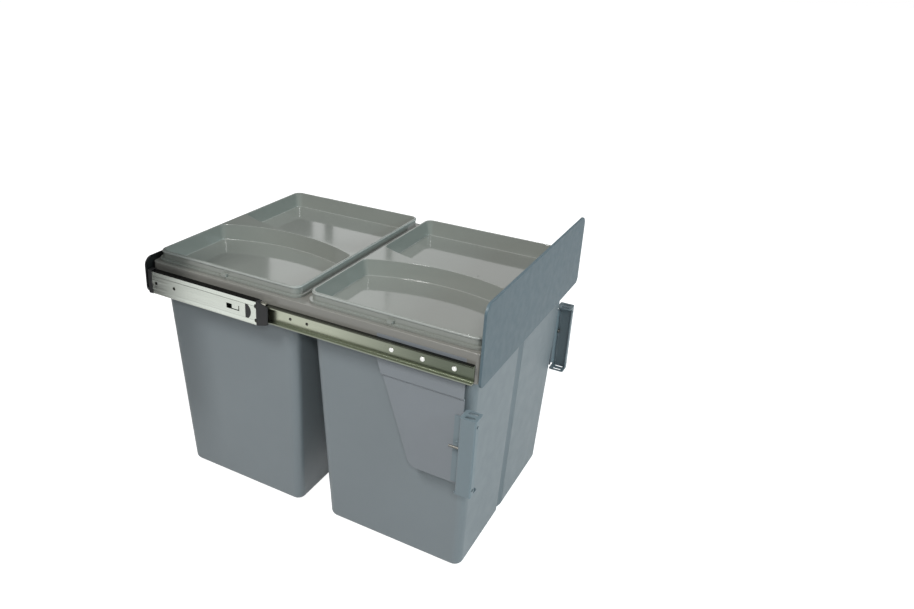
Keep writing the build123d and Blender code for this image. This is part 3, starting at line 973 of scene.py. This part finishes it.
@dataclass(frozen=True)
class Window:
    """A distant bright pane, given by the angles between which the lids see it."""

    name: str
    turns: Span
    rises: Span
    brightness: float
    distance: float = 6.0
    seen_from: Point = (0.05, 0.1, 0.32)

    def build(self) -> None:
        """Makes the pane as an area lamp that faces the lids."""
        turn, rise = sum(self.turns) / 2, sum(self.rises) / 2
        away = toward(turn, rise)
        width = self.distance * math.cos(math.radians(rise)) * math.radians(self.turns[1] - self.turns[0])
        height = self.distance * math.radians(self.rises[1] - self.rises[0])
        place = Vector(self.seen_from) + self.distance * away
        hang_lamp(self.name, (width, height), self.brightness * math.pi * width * height, place, -away)


@dataclass(frozen=True)
class Card:
    """A dark upright card beside the unit that shades it or shows as a dark reflection."""

    name: str
    x: float
    y_span: Span
    z_span: Span

    def build(self) -> None:
        """Stands the card up, unseen by the camera."""
        (front, back), (low, high) = self.y_span, self.z_span
        shape = bmesh.new()
        corners = ((front, low), (back, low), (back, high), (front, high))
        shape.faces.new([shape.verts.new((self.x, y, z)) for y, z in corners])
        card = stand(self.name, shape)
        card.data.materials.append(matt_board(self.name, 4.0, 0.02, 0.03).material)
        card.visible_camera = False


@dataclass
class Studio:
    """A white room with a pale floor, softboxes, dark cards and the camera."""

    camera_place: Point = (-0.87355, -0.50887, 0.73962)
    camera_turn: Point = (67.4248, -1.7296, -60.3802)
    lens: float = 30.8686
    shift: Span = (0.07678, -0.04238)
    room_light: float = 0.13
    room_tint: Colour = (0.95, 0.97, 1.0)
    floor_reach: float = 14.0
    floor_drop: float = 0.0005
    floor_glow: float = 0.95
    floor_shine: float = 0.55
    screen_angles: Span = (54.0, 22.0)
    screen_distance: float = 8.0
    screen_size: Span = (6.5, 2.4)
    lamps: tuple[Lamp, ...] = (
        Lamp("left_softbox", (-1.25, 0.25, 1.85), (0.3, 0.5), 22.0, (-0.16, 0.0, 0.2), (1.0, 0.98, 0.97)),
        Lamp("key_softbox", (-1.55, -0.95, 1.5), (0.3, 0.3), 10.5, (-0.17, -0.1, 0.2), (0.98, 0.99, 1.0)),
        Lamp("front_softbox", (-0.3, -2.7, 1.5), (1.2, 0.8), 32.0, tint=(0.74, 0.94, 1.0)),
        Lamp("top_softbox", (0.4, 0.8, 2.9), (1.6, 1.6), 5.0, tint=(1.0, 0.99, 0.96)),
    )
    windows: tuple[Window, ...] = (
        Window("upper_window", (50.8, 62.0), (21.2, 29.0), 1.35),
        Window("narrow_pane", (55.0, 56.1), (16.5, 21.1), 1.35),
        Window("lower_window", (56.9, 62.0), (16.5, 21.1), 1.35),
        Window("side_window", (62.4, 80.0), (15.0, 29.0), 1.1),
    )
    cards: tuple[Card, ...] = (
        Card("shading_card", -0.3, (0.188, 0.7), (0.3, 0.62)),
        Card("mirrored_card", -0.45, (0.47, 1.2), (0.0, 0.3)),
    )

    def build(self) -> None:
        """Makes the world, the floor, the lamps, the cards and the camera."""
        self.light_room()
        self.lay_floor()
        for thing in (*self.lamps, *self.windows, *self.cards):
            thing.build()
        self.hang_screen()
        self.set_camera()
        bpy.context.scene.view_settings.view_transform = "Standard"

    def light_room(self) -> None:
        """Gives the world a plain light that the camera and mirrors see as white."""
        world = bpy.data.worlds.new("white_room")
        bpy.context.scene.world = world
        world.use_nodes = True
        nodes, links = world.node_tree.nodes, world.node_tree.links
        room = nodes["Background"]
        room.inputs["Color"].default_value = (*self.room_tint, 1)
        room.inputs["Strength"].default_value = self.room_light
        seen = nodes.new("ShaderNodeBackground")
        seen.inputs["Color"].default_value = (*WHITE, 1)
        seen.inputs["Strength"].default_value = 1.0
        mix = nodes.new("ShaderNodeMixShader")
        directly = ray_share(world.node_tree, "Is Camera Ray", "Is Glossy Ray", "Is Transmission Ray")
        links.new(directly, mix.inputs["Fac"])
        links.new(room.outputs["Background"], mix.inputs[1])
        links.new(seen.outputs["Background"], mix.inputs[2])
        links.new(mix.outputs["Shader"], nodes["World Output"].inputs["Surface"])

    def lay_floor(self) -> None:
        """Lays a wide pale floor just under the bins' feet, which keeps the shadow."""
        shape = bmesh.new()
        bmesh.ops.create_circle(shape, cap_ends=True, segments=96, radius=self.floor_reach)
        bmesh.ops.translate(shape, verts=shape.verts, vec=(0, 0, -self.floor_drop))
        floor = stand("studio_floor", shape)
        board = matt_board("studio_floor", 3.0, 0.54, 0.57)
        board.fix("Specular IOR Level", 0.1)
        board.fix("Emission Color", (*WHITE, 1))
        seen = board.add("ShaderNodeMath", operation="MULTIPLY")
        seen.inputs[1].default_value = self.floor_glow
        board.link(ray_share(board.tree, "Is Camera Ray"), seen.inputs[0])
        glow = board.add("ShaderNodeMath", operation="MULTIPLY_ADD")
        glow.inputs[1].default_value = self.floor_shine
        board.link(ray_share(board.tree, "Is Glossy Ray", "Is Transmission Ray"), glow.inputs[0])
        board.link(seen.outputs["Value"], glow.inputs[2])
        board.feed("Emission Strength", glow.outputs["Value"])
        floor.data.materials.append(board.material)

    def hang_screen(self) -> None:
        """Hangs the grey wall round the windows, which only mirrors and gloss see."""
        away = toward(*self.screen_angles)
        turned = away.to_track_quat("Z", "Y").to_matrix().to_4x4()
        shape = bmesh.new()
        bmesh.ops.create_grid(shape, x_segments=1, y_segments=1, size=1.0)
        bmesh.ops.scale(shape, verts=shape.verts, vec=(*self.screen_size, 1.0))
        bmesh.ops.transform(
            shape, matrix=Matrix.Translation(self.screen_distance * away) @ turned, verts=shape.verts
        )
        screen = stand("studio_screen", shape)
        screen.data.materials.append(matt_board("studio_screen", 0.6, 0.1, 0.16).material)
        screen.visible_camera = False
        screen.visible_diffuse = False
        screen.visible_shadow = False

    def set_camera(self) -> None:
        """Stands the camera where the photograph was taken from."""
        data = bpy.data.cameras.new("camera")
        data.lens = self.lens
        data.sensor_width = 36.0
        data.sensor_fit = "HORIZONTAL"
        data.shift_x, data.shift_y = self.shift
        camera = bpy.data.objects.new("camera", data)
        bpy.context.scene.collection.objects.link(camera)
        camera.location = self.camera_place
        camera.rotation_euler = Euler([math.radians(angle) for angle in self.camera_turn], "XYZ")
        bpy.context.scene.camera = camera


def main() -> None:
    """Loads the frame, builds every sub-assembly on it and builds the studio."""
    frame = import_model()
    for assembly in (Containers(), Carriage(), Runners(), DoorFittings()):
        log.info("building %s", type(assembly).__name__)
        assembly.build(frame)
    Studio().build()


if __name__ == "__main__":
    main()
